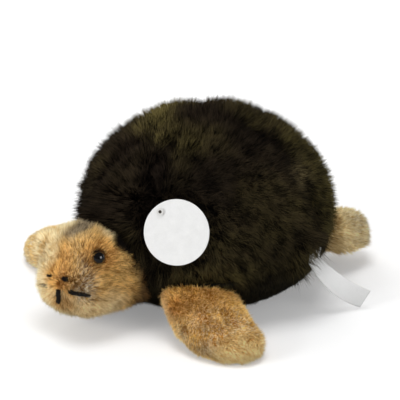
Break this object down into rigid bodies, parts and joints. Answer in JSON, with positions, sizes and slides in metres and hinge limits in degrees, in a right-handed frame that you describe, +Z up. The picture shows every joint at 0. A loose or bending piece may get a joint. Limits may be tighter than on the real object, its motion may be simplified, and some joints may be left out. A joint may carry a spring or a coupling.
{
  "type": "plush turtle",
  "caption": "Stuffed plush turtle with a domed long-pile shell, short-pile head and flippers, a round hang tag and a ribbon side label.",
  "frame": {"origin": "middle of the toy's outline on the surface it rests on", "axes": "+Z up, the head towards -Y, the turtle's left side towards +X"},
  "size_m": [0.1954, 0.2027, 0.103],
  "materials": {
    "shell_plush": "long-pile plush",
    "belly_plush": "short-pile plush",
    "head_plush": "short-pile plush",
    "flipper_plush": "short-pile plush",
    "leg_plush": "short-pile plush",
    "stuffing": "loose fibre",
    "eye_plastic": "polished",
    "thread": "embroidery thread",
    "pin_plastic": "moulded",
    "card": "coated card",
    "ribbon": "woven ribbon",
    "rivet_metal": "plated"
  },
  "bodies": {
    "body": {"shell_front_panel": "shell_plush", "shell_left_panel": "shell_plush", "shell_rear_left_panel": "shell_plush", "shell_rear_right_panel": "shell_plush", "shell_right_panel": "shell_plush", "belly_panel": "belly_plush", "body_stuffing": "stuffing", "tail": "leg_plush", "tag_pin": "pin_plastic", "label_tab": "ribbon", "label_rivet": "rivet_metal", "label_rivet_washer": "rivet_metal"},
    "head": {"head_left_cover": "head_plush", "head_right_cover": "head_plush", "head_stuffing": "stuffing", "left_eye": "eye_plastic", "right_eye": "eye_plastic", "left_eye_washer": "pin_plastic", "right_eye_washer": "pin_plastic", "left_nostril_stitch": "thread", "right_nostril_stitch": "thread", "left_mouth_stitch": "thread", "right_mouth_stitch": "thread", "mouth_centre_stitch": "thread"},
    "front_left_flipper": {"front_left_flipper_upper_cover": "flipper_plush", "front_left_flipper_lower_cover": "flipper_plush", "front_left_flipper_stuffing": "stuffing"},
    "front_right_flipper": {"front_right_flipper_upper_cover": "flipper_plush", "front_right_flipper_lower_cover": "flipper_plush", "front_right_flipper_stuffing": "stuffing"},
    "rear_left_leg": {"rear_left_leg_upper_cover": "leg_plush", "rear_left_leg_lower_cover": "leg_plush", "rear_left_leg_stuffing": "stuffing"},
    "rear_right_leg": {"rear_right_leg_upper_cover": "leg_plush", "rear_right_leg_lower_cover": "leg_plush", "rear_right_leg_stuffing": "stuffing"},
    "hang_tag": {"hang_tag": "card"},
    "side_label": {"side_label": "ribbon"}
  },
  "joints": [
    {"name": "head_nod", "type": "hinge", "parent": "body", "child": "head", "pos_m": [0, -0.05128, 0.024], "axis": [0.9743, 0.1894, 0.1219], "range_deg": [-6, 8], "stiffness_Nm_per_rad": 1},
    {"name": "front_left_flipper_lift", "type": "hinge", "parent": "body", "child": "front_left_flipper", "pos_m": [0.04662, -0.03324, 0.0175], "axis": [-0.6092, -0.793, 0], "range_deg": [-10, 15], "stiffness_Nm_per_rad": 0.2},
    {"name": "front_right_flipper_lift", "type": "hinge", "parent": "body", "child": "front_right_flipper", "pos_m": [-0.04662, -0.03324, 0.0175], "axis": [-0.6092, 0.793, 0], "range_deg": [-10, 15], "stiffness_Nm_per_rad": 0.2},
    {"name": "rear_left_leg_lift", "type": "hinge", "parent": "body", "child": "rear_left_leg", "pos_m": [0.0241, 0.06624, 0.0198], "axis": [0.9134, -0.407, 0], "range_deg": [-8, 10], "stiffness_Nm_per_rad": 0.2},
    {"name": "rear_right_leg_lift", "type": "hinge", "parent": "body", "child": "rear_right_leg", "pos_m": [-0.0241, 0.06624, 0.0198], "axis": [0.9134, 0.407, 0], "range_deg": [-8, 10], "stiffness_Nm_per_rad": 0.2},
    {"name": "hang_tag_swing", "type": "hinge", "parent": "body", "child": "hang_tag", "pos_m": [0.03285, -0.04894, 0.0691], "axis": [0.6328, -0.7042, 0.3219], "range_deg": [-25, 25]},
    {"name": "side_label_flex", "type": "hinge", "parent": "body", "child": "side_label", "pos_m": [0.06226, 0.03162, 0.02964], "axis": [0.3427, -0.9394, 0], "range_deg": [0, 25], "stiffness_Nm_per_rad": 0.001}
  ]
}
